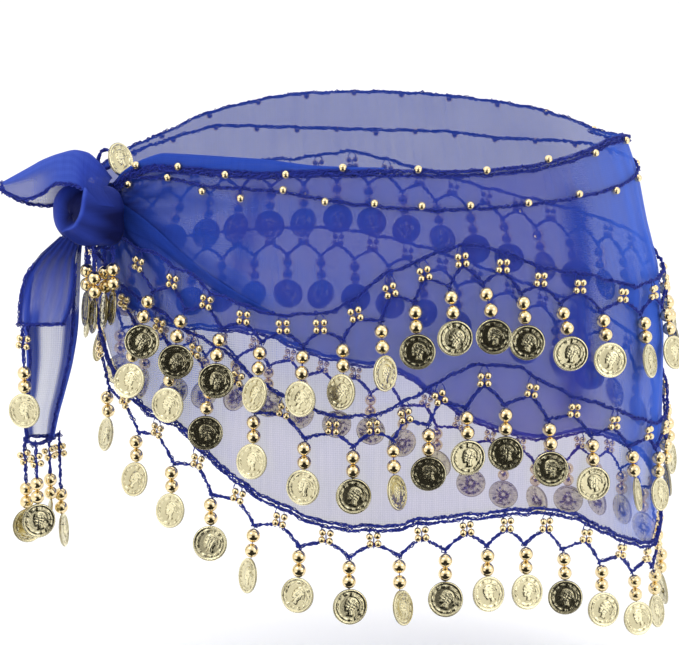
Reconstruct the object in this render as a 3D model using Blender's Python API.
"""Coin belt: a sheer cloth wrap tied at the left hip, with three rows of netted coins.

The belt keeps the hollow shape that it has when worn. The frame's origin is the middle of the
waist opening, X runs to the viewer's right, Y away from the viewer and Z up. Sizes here are in
millimetres and angles in degrees. An angle is measured round the hips from the front, so that
90 is the right side, 180 the back and 270 (or -90) the left side, where the knot is.
"""
import math

import bpy
import numpy as np

MM = 0.001

# Cloth and seams
CLOTH = 1.2
SEAM = 0.3
CLEAR = 0.7
WRAP_ROWS = 10

# Net, beads and coins
NET_THICK = 1.3
CHAIN_WIDTH = 2.2
CHAIN_LIFT = 0.9
CHAIN_REACH = 3.0
POST_DROP = 1.0
POST_SLOPE = 0.8
STRAND_POST = 3.5
CLUSTER_HALF = 4.5
CLUSTER_THICK = 3.0
LEG_DROP = 6.8
NET_DROP = 24.0
LEG_HALF = 1.0
VALLEY_DEPTH = 1.4
BEAD_R = 4.0
BEAD_THICK = 5.6
NECK_HALF = 1.2
COIN_R = 10.0
COIN_THICK = 1.2
COIN_OUTLINE = {"drop": (0.62, 1.38, 1.924), "half_width": (0.924, 0.924, 0.383)}
CORD_R = 0.9
CORD_START = -58.5
CORD_STEP = 5.5
PITCH = 22.5
LEAD_STEP = 12.0
CHAIN_END = 293.5
REACH = 12.0
GIRTH_LEVEL = -100.0

# Level sections of the hips
HIPS = {
    "height": (-290, -160, -115, -75, -47, -20, 0, 25),
    "half_width": (171, 173, 173, 170, 165, 161, 156, 150),
    "half_depth": (124, 125, 124, 121, 117, 113, 110, 107),
    "sway": (8, 8, 8, 6, 3.5, 2, 0, -2),
}

# Where the cloth is drawn out to the knot, and how far at each height
KNOT_ANGLE = -62.0
BEAK_SPREAD = 18.0
BEAK = {"height": (-160, -110, -50, 30), "out": (0, 4, 10, 10)}
NECK = 4.3
FRONT_END = -60.5
BACK_END = 296.5
NECK_TURN = 0.7
FLAP_TURN = -10.5
FLAP_FADE_END = -48.0
FLAP_FROM = 0.45
FLAP_OVER = 0.22
NECK_TO = 0.34
NECK_OVER = 0.12

# Lines round the cloth: its edges and the chains sewn to it
TOP = {
    "angle": (-61, -57, -52, -47, -36, -23, -10, 6, 19, 33, 50, 67, 90, 109, 124, 135, 150, 165,
              180, 195, 209, 223, 231, 245, 261, 280, 298),
    "height": (-18.5, -10, -3, 0.5, 1, 0.5, -2.5, -3.5, -4.5, -3.5, 1.5, 7, 3, 1, 7, 12, 16, 19,
               20, 19, 14, 6.5, -0.5, -8, -14, -18, -18.5),
}
EDGING = {
    "angle": (-59, -57, -52, -47, -36, -23, -11, 6),
    "height": (-20, -12.5, -8.5, -7, -7, -7.5, -5.5, -5),
}
EDGING_BELOW_TOP = 1.6
BEAD_LINE = {
    "angle": (-59, -56, -53, -42, -34, -23, -14, -4.5, 5, 13, 32, 56, 76, 100, 122, 147, 160, 176,
              203, 216, 231, 245, 261, 280, 294),
    "height": (-24, -16, -12.8, -13, -15.5, -15.5, -18, -22, -24.5, -26, -25, -21.5, -17, -12,
               -8.5, -9.5, -6.5, -6, -3, -1, -8, -14, -20, -24, -25),
}
ROW_1 = {
    "angle": (-59, -54, -51, -45, -42.5, -36, -33, -27, -20, -11.5, -5, 0, 5, 11, 17, 23, 29, 36,
              42, 51, 60, 80, 95, 110, 125, 140, 155, 167, 176, 184, 197, 212, 225, 240, 294),
    "height": (-44, -47.5, -53, -56, -60.5, -65.5, -73, -77.5, -83.5, -82.5, -75, -63, -56.5, -50,
               -45.5, -48, -55, -62.5, -65, -72, -77.5, -75, -68, -61, -56, -50, -42, -33, -26,
               -21, -25, -26, -29, -32, -33),
}
ROW_2 = {
    "angle": (-63, -60, -57, -51, -45, -39, -31, -25, -18, -12, -7, -1, 4, 10, 17, 24, 30, 38, 48,
              58, 70, 83, 100, 115, 130, 145, 160, 172, 187, 197, 225, 240, 255, 270, 283, 294),
    "height": (-58, -68, -74.5, -81.5, -88.5, -97, -105, -118, -130, -137, -140, -138, -131, -121,
               -112, -113, -122, -134, -144, -155, -163, -157, -140, -128, -118, -107, -94, -83,
               -74, -72, -72, -66, -57, -47, -41, -39.5),
}
HEM = {
    "angle": (-71, -68, -66, -63, -59, -53, -50, -44, -40, -36, -32, -25, -17, -9, 0, 8, 17, 27,
              37, 44, 51, 62, 72, 83, 95, 108, 125, 143, 157, 167, 176, 186, 195, 205, 214, 228,
              242, 256, 266, 276, 287, 298),
    "height": (-96, -105, -110, -122, -133, -142.5, -148, -150.5, -155, -164, -172, -185.5,
               -195.5, -203, -204, -200, -198.5, -198, -203, -212, -222, -234, -240, -234, -215,
               -203, -200, -211, -204, -186, -170, -165, -157, -143, -138, -131, -114, -85, -64,
               -52, -47.5, -48),
}

# Coins in front: where each hangs and which way it faces, 0 being straight to the viewer
COINS_1 = {
    "angle": (-47, -38.8, -30.8, -22.4, -14.2, -6.8, 0.1, 6.3, 12.8, 20.3, 27.5, 35.4, 46.2,
              59.6, 74.1),
    "face": (0, 5, 0, -48, -32, -40, 50, 0, 8, -5, 0, 6, 15, 62, 45),
}
COINS_2 = {
    "angle": (-51.8, -42.6, -33.3, -24.3, -14.4, -4.6, 2.3, 8, 14.7, 23.2, 32.3, 42.6, 55.1,
              69.4),
    "face": (-25, -22, 5, -30, -22, 8, 60, 0, 12, 0, -6, 10, 73, 55),
}
COINS_3 = {
    "angle": (-64.5, -54.1, -42.6, -33.3, -24.8, -15.7, -6.1, 3.2, 11.9, 20, 27.7, 36.5, 47.1,
              59.3, 74),
    "face": (-62, -38, -32, -10, -60, -24, 15, 58, 5, 24, 24, 0, 18, 25, 60),
}
LAST_COIN = {"row_1": 245.0, "row_2": 251.0, "row_3": 268.0}
SIDE_TURN = 24.0
SIDE_TURN_STEP = 2.4

# Soft folds in the cloth, each a low ridge from one place to another
FOLDS = {
    "from_angle": (-57, -56, -56, 60, 74, 262, 275, 205, 128, 96),
    "from_height": (-27, -21, -42, -60, -40, -34, -40, -40, -40, -90),
    "to_angle": (-20, -30, -40, 57, 70, 226, 250, 214, 132, 88),
    "to_height": (-80, -24, -82, -215, -225, -92, -86, -120, -190, -220),
    "width": (18, 12, 14, 26, 22, 20, 16, 28, 34, 24),
    "rise": (2.6, 1.6, 1.8, 2.0, 2.2, 2.2, 1.8, 1.6, 2.4, 1.6),
}

# Knot
KNOT_OUT = 19.3
KNOT_SHIFT = 6.5
KNOT_HEIGHT = -33.5
KNOT_DEPTH = 13.0
KNOT_HALF_WIDTH = 27.5
KNOT_HALF_HEIGHT = 17.5
KNOT_ROUND = 2.3
KNOT_FLAT = 5.0
KNOT_RINGS = 9
KNOT_SIDES = 16
KNOT_SWELL = 0.035

# Ear: the bow end that stands out to the left of the knot, from its root to its tip
EAR = {
    "x": (-146, -153, -160, -167, -175, -184, -193, -201, -208),
    "crest_y": (-69, -69, -68, -68, -69, -70, -71, -72, -73),
    "crest_z": (-14, -5, 0.5, 2, 0.5, -2.6, -7.5, -12, -16),
    "front_y": (-75, -79, -81, -83, -85, -86, -84, -80, -76),
    "front_z": (-15.8, -15.7, -15.8, -15.5, -15, -21, -24, -22.5, -19),
    "back_y": (-64, -58, -50, -44, -44, -48, -56, -63, -70),
    "back_z": (-15, -14.5, -16, -28, -33, -33, -31, -27, -21),
}
EAR_ACROSS = 8

# Tails below the knot: the long one is rolled, the short one lies in front of it
TAIL_LONG = {
    "height": (-58, -68, -84, -100, -120, -140, -154, -167),
    "left": (-188, -195, -198, -199, -198, -199, -201, -200),
    "right": (-164.6, -165.4, -166.4, -167.5, -170.7, -176, -180, -183),
    "y": (-67, -66, -65, -65, -66, -67, -68, -68),
    "depth": (7, 7, 7, 7, 6.5, 6, 5, 4),
}
TAIL_LONG_WRAP = 125.0
TAIL_SHORT = {
    "height": (-58, -68, -78, -88, -96),
    "left": (-187, -194, -197, -198.5, -199),
    "right": (-166, -166.5, -168, -170.5, -174),
    "y": (-81, -82, -82, -81.5, -81),
    "depth": (5, 5, 4.5, 4, 3.5),
}
TAIL_SHORT_WRAP = 70.0
TAIL_ACROSS = 8

# Dangles that hang from the tails and in a bunch below the knot
SHORT_DANGLES = {
    "x": (-197.0,),
    "y": (-83.5,),
    "top": (-96.6,),
    "drop": (24.0,),
    "face": (-20.0,),
}
LONG_DANGLES = {
    "x": (-199.5, -192.0, -186.5, -181.5),
    "y": (-73.0, -80.0, -64.0, -57.0),
    "top": (-167.5, -167.5, -167.5, -167.5),
    "drop": (25.0, 20.0, 22.0, 33.0),
    "face": (35.0, 25.0, -80.0, 85.0),
}
BUNCH_DANGLES = {
    "x": (-160.0, -155.0, -149.5, -144.0),
    "y": (-80.0, -87.0, -81.0, -88.0),
    "top": (-51.5, -51.5, -51.5, -51.5),
    "drop": (10.0, 13.0, 11.0, 8.0),
    "face": (-74.0, -74.0, -74.0, -74.0),
}
ROOT_THICK = 2.0

BLUE = (0.03, 0.07, 0.50, 1.0)
CHAIN_BLUE = (0.01, 0.03, 0.33, 1.0)
GOLD = (0.83, 0.62, 0.24, 1.0)


def curve(xs, ys, x):
    """Smooth curve through the points, with no overshoot between them."""
    xs = np.asarray(xs, float)
    ys = np.asarray(ys, float)
    x = float(np.clip(x, xs[0], xs[-1]))
    run = np.diff(xs)
    slope = np.diff(ys) / run
    lean = np.zeros(len(xs))
    rising = slope[:-1] * slope[1:] > 0
    lean[1:-1][rising] = 2 / (1 / slope[:-1][rising] + 1 / slope[1:][rising])
    lean[0] = slope[0]
    lean[-1] = slope[-1]
    i = min(int(np.searchsorted(xs, x, side="right")) - 1, len(xs) - 2)
    t = (x - xs[i]) / run[i]
    rise = (3 - 2 * t) * t * t
    start = t * (1 - t) ** 2 * run[i]
    end = t * t * (t - 1) * run[i]
    return ys[i] + (ys[i + 1] - ys[i]) * rise + lean[i] * start + lean[i + 1] * end


def height_on(line, angle):
    return curve(line["angle"], line["height"], angle)


def step_up(t):
    t = min(max(t, 0.0), 1.0)
    return t * t * (3 - 2 * t)


def hip_size(key, height):
    return np.interp(height, HIPS["height"], HIPS[key])


def level_normal(angle, height):
    """Outward direction of the hips at an angle, level."""
    t = math.radians(angle)
    n = np.array([math.sin(t) / hip_size("half_width", height),
                  -math.cos(t) / hip_size("half_depth", height), 0.0])
    return n / np.linalg.norm(n)


def on_hips(angle, height, out=0.0):
    """Point on the worn form, or off it by out."""
    t = math.radians(angle)
    point = np.array([hip_size("sway", height) + hip_size("half_width", height) * math.sin(t),
                      -hip_size("half_depth", height) * math.cos(t), height])
    away = abs((angle - KNOT_ANGLE + 180) % 360 - 180)
    near = 1 - away / BEAK_SPREAD
    beak = np.interp(height, BEAK["height"], BEAK["out"]) * step_up(near)
    return point + level_normal(angle, height) * (out + beak)


def girth_table():
    """Distance round the hips at each whole degree, so that places can be laid out flat."""
    angles = np.arange(-80.0, 311.0)
    points = np.array([on_hips(a, GIRTH_LEVEL) for a in angles])
    steps = np.linalg.norm(np.diff(points, axis=0), axis=1)
    return angles, np.concatenate([[0.0], np.cumsum(steps)])


GIRTH_ANGLE, GIRTH_RUN = girth_table()


def run_at(angle):
    return float(np.interp(angle, GIRTH_ANGLE, GIRTH_RUN))


def angle_at(run):
    return float(np.interp(run, GIRTH_RUN, GIRTH_ANGLE))


def fold_rise(run, height):
    """How far the folds lift the cloth at a place."""
    lift = 0.0
    for a0, z0, a1, z1, width, rise in zip(*FOLDS.values()):
        start = np.array([run_at(a0), z0])
        along = np.array([run_at(a1), z1]) - start
        here = np.array([run, height]) - start
        t = float(np.dot(here, along) / np.dot(along, along))
        off = np.linalg.norm(here - along * min(max(t, 0.0), 1.0)) / (width / 2)
        fade = step_up(t * 6 + 0.35) * step_up((1 - t) * 4 + 0.35)
        if off < 1:
            lift = max(lift, rise * fade * math.cos(off * math.pi / 2) ** 2)
    return lift


class Cover:
    """What already lies on the cloth, so that the next thing lies over it."""

    def __init__(self):
        self.patches = []

    def add(self, run, half_run, low, high, out):
        self.patches.append((run - half_run, run + half_run, low, high, out))

    def clear(self, run, half_run, low, high):
        """Smallest distance off the form that is clear of the cloth and all that covers it."""
        out = 0.0
        for r in np.linspace(run - half_run, run + half_run, 5):
            for z in np.linspace(low, high, 5):
                out = max(out, fold_rise(r, z))
        out += CLOTH
        for r0, r1, z0, z1, top in self.patches:
            if run + half_run > r0 and run - half_run < r1 and high > z0 and low < z1:
                out = max(out, top)
        return out + CLEAR


class Plate:
    """A thin closed body of paired points: outer faces, the same turned inward, and a rim."""

    def __init__(self):
        self.outer = []
        self.inner = []
        self.faces = []

    def add(self, point, direction, thick):
        half = np.asarray(direction) * (thick / 2)
        self.outer.append(point + half)
        self.inner.append(point - half)
        return len(self.outer) - 1

    def face(self, *corners):
        self.faces.append(corners)

    def mesh(self):
        count = len(self.outer)
        sides = {}
        for corners in self.faces:
            for a, b in zip(corners, corners[1:] + corners[:1]):
                sides[(a, b)] = True
        faces = [tuple(c) for c in self.faces]
        faces += [tuple(i + count for i in reversed(c)) for c in self.faces]
        for a, b in sides:
            if (b, a) not in sides:
                faces.append((b, a, a + count, b + count))
        return self.outer + self.inner, faces


def material(name, colour, rough, metal):
    mat = bpy.data.materials.new(name)
    mat.use_nodes = True
    shader = mat.node_tree.nodes["Principled BSDF"]
    shader.inputs["Base Color"].default_value = colour
    shader.inputs["Roughness"].default_value = rough
    shader.inputs["Metallic"].default_value = metal
    return mat


def place(name, points, faces, colour, rough=0.8, metal=0.0):
    """One object at the frame's origin, in metres, with its own material."""
    data = bpy.data.meshes.new(name)
    data.from_pydata([tuple(float(c) * MM for c in p) for p in points], [], faces)
    data.validate()
    data.materials.append(material(name + "_finish", colour, rough, metal))
    obj = bpy.data.objects.new(name, data)
    bpy.context.scene.collection.objects.link(obj)
    return obj


def wall(grid, thick):
    """Plate of a sheet's middle surface, given as rows of points, outward to the right of a row."""
    grid = np.array(grid)
    rows, cols = grid.shape[:2]
    down = np.gradient(grid, axis=0)
    across = np.gradient(grid, axis=1)
    normal = np.cross(down, across)
    normal /= np.linalg.norm(normal, axis=2)[:, :, None]
    plate = Plate()
    for j in range(rows):
        for i in range(cols):
            plate.add(grid[j, i], normal[j, i], thick)
    for j in range(rows - 1):
        for i in range(cols - 1):
            a = j * cols + i
            plate.face(a, a + cols, a + cols + 1, a + 1)
    return plate


def cord(points, outward, radius):
    """Four-sided cord along a path, with closed ends."""
    verts = []
    faces = []
    points = np.array(points)
    along = np.gradient(points, axis=0)
    for p, way, out in zip(points, along, outward):
        side = np.cross(way, out)
        side /= np.linalg.norm(side)
        for offset in (out, side, -out, -side):
            verts.append(p + offset * radius)
    last = len(verts) - 4
    for k in range(0, last, 4):
        for i in range(4):
            j = (i + 1) % 4
            faces.append((k + i, k + j, k + 4 + j, k + 4 + i))
    faces.append((3, 2, 1, 0))
    faces.append((last, last + 1, last + 2, last + 3))
    return verts, faces


def wrap_angles():
    """Columns of the wrap: close together near the knot, wider elsewhere."""
    front = np.concatenate([np.linspace(FRONT_END, -54, 6), np.linspace(-54, -18, 12)[1:]])
    middle = np.linspace(-18, 238, 41)[1:]
    back = np.linspace(238, BACK_END, 14)[1:]
    return np.concatenate([front, middle, back])


def wrap_panel():
    """The cloth round the hips, drawn out to the knot at its two ends."""
    columns = []
    levels = np.linspace(0, 1, WRAP_ROWS + 1)

    def column(angle, turn, neck_out):
        fade = max(0.0, (FLAP_FADE_END - angle) / (FLAP_FADE_END - FRONT_END)) ** 2
        hem = height_on(HEM, angle + FLAP_TURN * fade)
        top = height_on(TOP, angle)
        points = []
        for v in levels:
            height = top + (hem - top) * v
            flap = FLAP_TURN * fade * step_up((v - FLAP_FROM) / FLAP_OVER)
            free = step_up((v - NECK_TO) / NECK_OVER) if angle < 0 else 0.0
            here = angle + flap + turn
            rise = fold_rise(run_at(here), height)
            points.append(on_hips(here, height, rise + CLOTH / 2 + neck_out * (1 - free)))
        columns.append(points)

    column(FRONT_END, -NECK_TURN, NECK)
    for angle in wrap_angles():
        column(angle, 0.0, 0.0)
    column(BACK_END, NECK_TURN, NECK)
    grid = np.array(columns).transpose(1, 0, 2)
    place("wrap_panel", *wall(grid, CLOTH).mesh(), BLUE)


def edge_cord(name, line, start, end, step, cover):
    """A crocheted line sewn round the cloth."""
    points = []
    outward = []
    laid = []
    for angle in np.arange(start, end + step / 2, step):
        height = line(angle)
        run = run_at(angle)
        out = cover.clear(run, REACH, height - 3 * CORD_R, height + 3 * CORD_R) + CORD_R
        points.append(on_hips(angle, height, out))
        outward.append(level_normal(angle, height))
        laid.append((run, out + CORD_R, height))
    for run, out, height in laid:
        cover.add(run, REACH / 2, height - CORD_R, height + CORD_R, out)
    place(name, *cord(points, outward, CORD_R), CHAIN_BLUE)


def edging_height(angle):
    below = height_on(TOP, angle) - EDGING_BELOW_TOP
    if angle > EDGING["angle"][-1]:
        return below
    return min(below, height_on(EDGING, angle))


def coin_places(table, last):
    """Where the coins of a row hang and how they are turned from the cloth's face."""
    angles = list(table["angle"])
    turns = []
    for angle, face in zip(table["angle"], table["face"]):
        n = level_normal(angle, GIRTH_LEVEL)
        turns.append(face - math.degrees(math.atan2(n[0], -n[1])))
    start = run_at(angles[-1])
    count = round((run_at(last) - start) / PITCH)
    for k in range(1, count + 1):
        angles.append(angle_at(start + (run_at(last) - start) * k / count))
        turns.append(SIDE_TURN * math.sin(SIDE_TURN_STEP * k))
    return angles, turns


def post_drop(path, p):
    """How far a cluster hangs below the chain: further where the chain is steep."""
    sides = np.interp([p[0] - CLUSTER_HALF, p[0] + CLUSTER_HALF], path[:, 0], path[:, 1])
    return POST_DROP + POST_SLOPE * max(0.0, p[1] - min(sides))


def hang_dangle(plate, spine, across, turn, top_pair, beads_low):
    """Two beads and a coin below a pair of points. spine(height) is the middle line."""
    left, right = top_pair
    face_left, face_right = left, right
    z = beads_low
    for bead in range(2):
        mid = z - BEAD_R
        low = z - 2 * BEAD_R
        point, direction = spine(mid)
        side = across(0.0)
        near = plate.add(point - side * BEAD_R, direction, BEAD_THICK)
        far = plate.add(point + side * BEAD_R, direction, BEAD_THICK)
        plate.face(face_left, near, far, face_right)
        point, direction = spine(low)
        angle = turn * bead / 2
        side = across(angle)
        normal = np.array([side[1], -side[0], 0.0])
        face_left = plate.add(point - side * NECK_HALF, normal, NET_THICK)
        face_right = plate.add(point + side * NECK_HALF, normal, NET_THICK)
        plate.face(near, face_left, face_right, far)
        z = low
    side = across(turn)
    normal = np.array([side[1], -side[0], 0.0])
    for drop, half in zip(*COIN_OUTLINE.values()):
        point, direction = spine(z - COIN_R * drop)
        near = plate.add(point - side * (COIN_R * half), normal, COIN_THICK)
        far = plate.add(point + side * (COIN_R * half), normal, COIN_THICK)
        plate.face(face_left, near, far, face_right)
        face_left, face_right = near, far


def coin_row(name, line, table, last, lead, cover):
    """A crocheted chain with clusters, legs, and a pair of beads and a coin at each low point."""
    angles, turns = coin_places(table, last)
    plate = Plate()
    later = []

    def lay(run, height, out, thick):
        angle = angle_at(run)
        return plate.add(on_hips(angle, height, out), level_normal(angle, height), thick)

    runs = np.array([run_at(a) for a in angles])
    middles = []
    for run in runs:
        ahead = height_on(line, angle_at(run + PITCH / 2))
        behind = height_on(line, angle_at(run - PITCH / 2))
        slope = math.atan2(ahead - behind, PITCH)
        middles.append(run - LEG_DROP * math.sin(slope))
    inner = [(a + b) / 2 for a, b in zip(middles, middles[1:])]
    stations = [middles[0] - (inner[0] - middles[0])] + inner
    stations.append(middles[-1] + (middles[-1] - inner[-1]))
    hang = [np.array([s, height_on(line, angle_at(s))]) for s in stations]
    base = [cover.clear(p[0], REACH, p[1] - NET_DROP, p[1]) + NET_THICK / 2 for p in hang]

    path = [np.array([run_at(a), h]) for a, h in zip(*lead.values())]
    first = len(path)
    path += hang
    spare = run_at(CHAIN_END) - hang[-1][0]
    for k in range(1, round(spare / LEAD_STEP) + 1):
        run = hang[-1][0] + spare * k / round(spare / LEAD_STEP)
        path.append(np.array([run, height_on(line, angle_at(run))]))
    path = np.array(path)
    along = np.gradient(path, axis=0)
    along /= np.linalg.norm(along, axis=1)[:, None]
    up = np.stack([-along[:, 1], along[:, 0]], 1) * (CHAIN_WIDTH / 2)

    previous = None
    cells = []
    for k, (p, u) in enumerate(zip(path, up)):
        cell = k - first
        near = [float(np.interp(p[0] + d, path[:, 0], path[:, 1])) for d in (-REACH, 0.0, REACH)]
        out = cover.clear(p[0], REACH, min(near) - CHAIN_REACH, max(near) + CHAIN_REACH)
        out += CHAIN_LIFT + NET_THICK / 2
        top = lay(p[0] + u[0], p[1] + u[1], out, NET_THICK)
        if 0 <= cell < len(hang):
            left = lay(p[0] - u[0] - LEG_HALF, p[1] - u[1], out, NET_THICK)
            right = lay(p[0] - u[0] + LEG_HALF, p[1] - u[1], out, NET_THICK)
            plate.face(top, left, right)
            cells.append((left, right))
        else:
            left = lay(p[0] - u[0], p[1] - u[1], out, NET_THICK)
            right = left
        if previous:
            plate.face(previous[0], previous[1], left, top)
        previous = (top, right)
        later.append((p[0], REACH, p[1] - 2, p[1] + 2, out + NET_THICK / 2))

    feet = []
    for p, out, (left, right) in zip(hang, base, cells):
        middle = p[1] - CHAIN_WIDTH / 2 - post_drop(path, p) - CLUSTER_HALF
        low = middle - CLUSTER_HALF
        thick_out = out + (CLUSTER_THICK - NET_THICK) / 2
        near = lay(p[0] - CLUSTER_HALF, middle, thick_out, CLUSTER_THICK)
        far = lay(p[0] + CLUSTER_HALF, middle, thick_out, CLUSTER_THICK)
        plate.face(left, near, far, right)
        foot_l = lay(p[0] - LEG_HALF, low, out, NET_THICK)
        foot_r = lay(p[0] + LEG_HALF, low, out, NET_THICK)
        foot = lay(p[0], low - LEG_HALF, out, NET_THICK)
        plate.face(near, foot_l, foot_r, far)
        plate.face(foot_l, foot, foot_r)
        feet.append((foot_l, foot, foot_r, np.array([p[0], low])))
        later.append((p[0], CLUSTER_HALF, low - 1, p[1] - 2, out + CLUSTER_THICK))

    for k, turn in enumerate(turns):
        a, b = feet[k], feet[k + 1]
        chord = b[3] - a[3]
        down = np.array([chord[1], -chord[0]]) / np.linalg.norm(chord)
        valley = (a[3] + b[3]) / 2 + down * LEG_DROP
        out = (base[k] + base[k + 1]) / 2
        top = lay(valley[0], valley[1], out, NET_THICK)
        left = lay(valley[0] - LEG_HALF, valley[1] - VALLEY_DEPTH, out, NET_THICK)
        right = lay(valley[0] + LEG_HALF, valley[1] - VALLEY_DEPTH, out, NET_THICK)
        plate.face(a[2], a[1], left, top)
        plate.face(b[0], top, right, b[1])
        plate.face(top, left, right)
        for foot in (a, b):
            centre = (foot[3] + valley) / 2
            half = abs(foot[3] - valley) / 2
            later.append((centre[0], half[0] + 1, centre[1] - half[1] - 1,
                          centre[1] + half[1] + 1, out + NET_THICK / 2))

        beads_top = valley[1] - VALLEY_DEPTH
        coin_top = beads_top - 4 * BEAD_R
        sine = abs(math.sin(math.radians(turn)))
        depth = COIN_R * sine + COIN_THICK / 2
        wide = COIN_R * math.cos(math.radians(turn)) + 1.0
        own = [(r - h, r + h, lo, hi, o) for r, h, lo, hi, o in later if hi < valley[1] - 2]
        cover.patches += own
        bead_out = cover.clear(valley[0], BEAD_R, coin_top, beads_top) + BEAD_THICK / 2
        coin_out = cover.clear(valley[0], wide, coin_top - 2 * COIN_R, coin_top) + depth
        del cover.patches[len(cover.patches) - len(own):]
        coin_out = max(coin_out, bead_out)
        steps = [beads_top, coin_top, coin_top - 2 * COIN_R]
        lean = [max(bead_out - BEAD_THICK / 3, out), coin_out, coin_out]
        angle = angle_at(valley[0])
        flat = level_normal(angle, valley[1])

        def spine(height):
            o = float(np.interp(-height, [-s for s in steps], lean))
            if height > coin_top + 0.1:
                o = max(o, bead_out)
            return on_hips(angle, height, o), flat

        def across(extra):
            t = math.radians(extra)
            side = np.array([-flat[1], flat[0], 0.0])
            return side * math.cos(t) - flat * math.sin(t)

        hang_dangle(plate, spine, across, turn, (left, right), beads_top)
        later.append((valley[0], BEAD_R, coin_top, beads_top, bead_out + BEAD_THICK / 2))
        later.append((valley[0], wide, coin_top - 2 * COIN_R, coin_top, coin_out + depth))
    cover.patches += [(r - h, r + h, lo, hi, o) for r, h, lo, hi, o in later]
    place(name, *plate.mesh(), GOLD, 0.25, 1.0)


def knot_frame():
    """Outward and sideways directions of the knot."""
    outward = level_normal(KNOT_ANGLE, KNOT_HEIGHT)
    return outward, np.array([-outward[1], outward[0], 0.0])


def knot_centre():
    return on_hips(KNOT_ANGLE, KNOT_HEIGHT, KNOT_OUT) + knot_frame()[1] * KNOT_SHIFT


def knot_point(direction, grow=0.0):
    """Point of the knot's surface in a direction from its middle."""
    outward, side = knot_frame()
    d = np.asarray(direction, float)
    d = d / np.linalg.norm(d)
    n, t, z = np.dot(d, outward), np.dot(d, side), d[2]
    power = KNOT_ROUND + (KNOT_FLAT - KNOT_ROUND) * step_up(-n * 1.6)
    size = (abs(n / KNOT_DEPTH) ** power + abs(t / KNOT_HALF_WIDTH) ** power
            + abs(z / KNOT_HALF_HEIGHT) ** power)
    swell = 1 + KNOT_SWELL * math.cos(3 * math.atan2(z, t) + 0.6) * max(n, 0.0)
    return knot_centre() + d * (size ** (-1 / power) * swell + grow)


def knot():
    """The wrapped knot: a rounded form, flat where the cloth's ends go in."""
    outward, side = knot_frame()
    verts = [knot_point(outward)]
    for ring in range(1, KNOT_RINGS + 1):
        polar = math.pi * ring / (KNOT_RINGS + 1)
        for i in range(KNOT_SIDES):
            t = 2 * math.pi * i / KNOT_SIDES
            level = side * math.cos(t) + np.array([0.0, 0.0, math.sin(t)])
            verts.append(knot_point(outward * math.cos(polar) + level * math.sin(polar)))
    verts.append(knot_point(-outward))
    faces = []
    for i in range(KNOT_SIDES):
        j = (i + 1) % KNOT_SIDES
        faces.append((0, 1 + i, 1 + j))
        for ring in range(KNOT_RINGS - 1):
            a = 1 + ring * KNOT_SIDES
            faces.append((a + i, a + KNOT_SIDES + i, a + KNOT_SIDES + j, a + j))
        a = 1 + (KNOT_RINGS - 1) * KNOT_SIDES
        faces.append((a + i, len(verts) - 1, a + j))
    place("knot", verts, faces, BLUE)


def knot_ear():
    """The bow end beside the knot: one sheet folded over a crest, open below."""
    grid = []
    for x, cy, cz, fy, fz, by, bz in zip(*EAR.values()):
        row = []
        for w in np.linspace(-1, 1, EAR_ACROSS + 1):
            edge_y, edge_z = (by, bz) if w > 0 else (fy, fz)
            y = cy + (edge_y - cy) * abs(w) ** 0.75
            z = cz + (edge_z - cz) * abs(w) ** 1.5
            row.append((x, y, z))
        grid.append(row)
    place("knot_ear", *wall(grid, CLOTH).mesh(), BLUE)


def tail(name, table, wrap, back, reach):
    """A hanging end of the cloth: each level section is an arc of the given wrap."""
    grid = []
    for height, left, right, y, depth in zip(*table.values()):
        row = []
        for w in np.linspace(-1, 1, TAIL_ACROSS + 1):
            t = math.radians(wrap * w)
            x = (left + right) / 2 + (right - left) / 2 * math.sin(t) / math.sin(
                math.radians(min(wrap, 90)))
            row.append((x, y + back * depth * math.cos(t), height))
        grid.append(row)
    head = []
    for point in grid[0]:
        toward = np.array(point) - knot_centre()
        toward[2] = min(toward[2], -reach)
        head.append(knot_point(toward, CLOTH / 2 + SEAM))
    grid.insert(0, head)
    place(name, *wall(grid, CLOTH).mesh(), BLUE)


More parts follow.
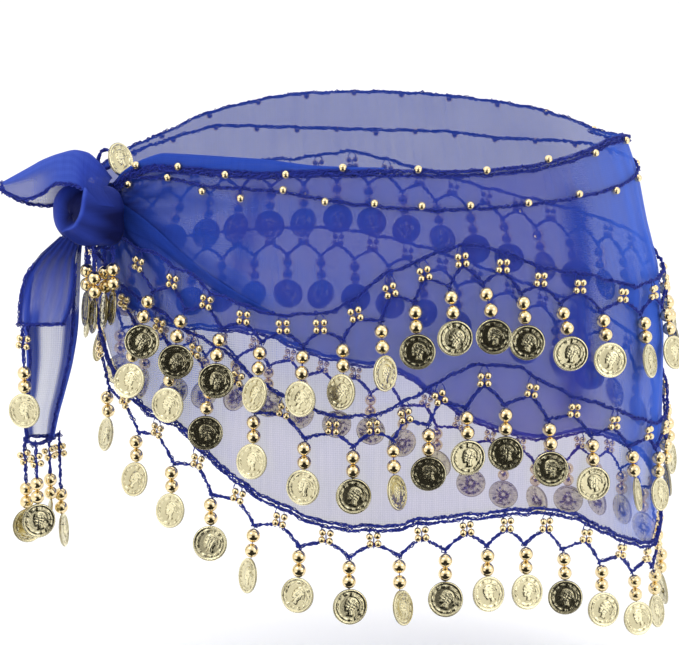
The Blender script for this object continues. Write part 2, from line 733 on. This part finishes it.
def dangles(name, table):
    """Free dangles fused at their roots to one narrow strip."""
    plate = Plate()
    rows = list(zip(*table.values()))
    roots = []
    for x, y, top, drop, face in rows:
        toward = np.array([0.0, -1.0, 0.0])
        side = np.array([1.0, 0.0, 0.0])
        corners = []
        for dz in (0.0, -ROOT_THICK):
            for s in (-1, 1):
                corners.append(plate.add(np.array([x + s * NECK_HALF, y, top + dz]), toward,
                                         ROOT_THICK))
        plate.face(corners[0], corners[2], corners[3], corners[1])
        roots.append(corners)
        z = top - drop
        widths = [(z, NECK_HALF * 0.6, NET_THICK)]
        if drop > 2 * NET_DROP / 3:
            middle = top - ROOT_THICK - STRAND_POST - CLUSTER_HALF
            widths = [(middle, CLUSTER_HALF, CLUSTER_THICK),
                      (middle - CLUSTER_HALF, NECK_HALF * 0.6, NET_THICK)] + widths
        upper = (corners[2], corners[3])
        for height, half, thick in widths:
            near = plate.add(np.array([x - half, y, height]), toward, thick)
            far = plate.add(np.array([x + half, y, height]), toward, thick)
            plate.face(upper[0], near, far, upper[1])
            upper = (near, far)

        def spine(height):
            return np.array([x, y, height]), toward

        def across(extra):
            t = math.radians(extra)
            return side * math.cos(t) - toward * math.sin(t)

        hang_dangle(plate, spine, across, face, upper, z)
    order = sorted(range(len(rows)), key=lambda k: rows[k][0])
    for a, b in zip(order, order[1:]):
        plate.face(roots[a][1], roots[a][3], roots[b][2], roots[b][0])
    place(name, *plate.mesh(), GOLD, 0.25, 1.0)


def build():
    for obj in list(bpy.data.objects):
        bpy.data.objects.remove(obj)
    wrap_panel()
    cover = Cover()
    edge_cord("top_edging", edging_height, CORD_START, CHAIN_END, CORD_STEP, cover)
    edge_cord("bead_chain", lambda a: height_on(BEAD_LINE, a), CORD_START, CHAIN_END,
              CORD_STEP, cover)
    rows = (
        ("coin_row_3", HEM, COINS_3, LAST_COIN["row_3"],
         {"angle": (-71.4, -71.3), "height": (-60, -78)}),
        ("coin_row_2", ROW_2, COINS_2, LAST_COIN["row_2"],
         {"angle": (-62.5,), "height": (-59,)}),
        ("coin_row_1", ROW_1, COINS_1, LAST_COIN["row_1"],
         {"angle": (-58.5,), "height": (-44,)}),
    )
    for name, line, table, last, lead in rows:
        coin_row(name, line, table, last, lead, cover)
    knot()
    knot_ear()
    tail("tail_long", TAIL_LONG, TAIL_LONG_WRAP, 1, 14.0)
    tail("tail_short", TAIL_SHORT, TAIL_SHORT_WRAP, -1, 14.0)
    dangles("tail_short_fringe", SHORT_DANGLES)
    dangles("tail_long_fringe", LONG_DANGLES)
    dangles("bunch_fringe", BUNCH_DANGLES)


build()
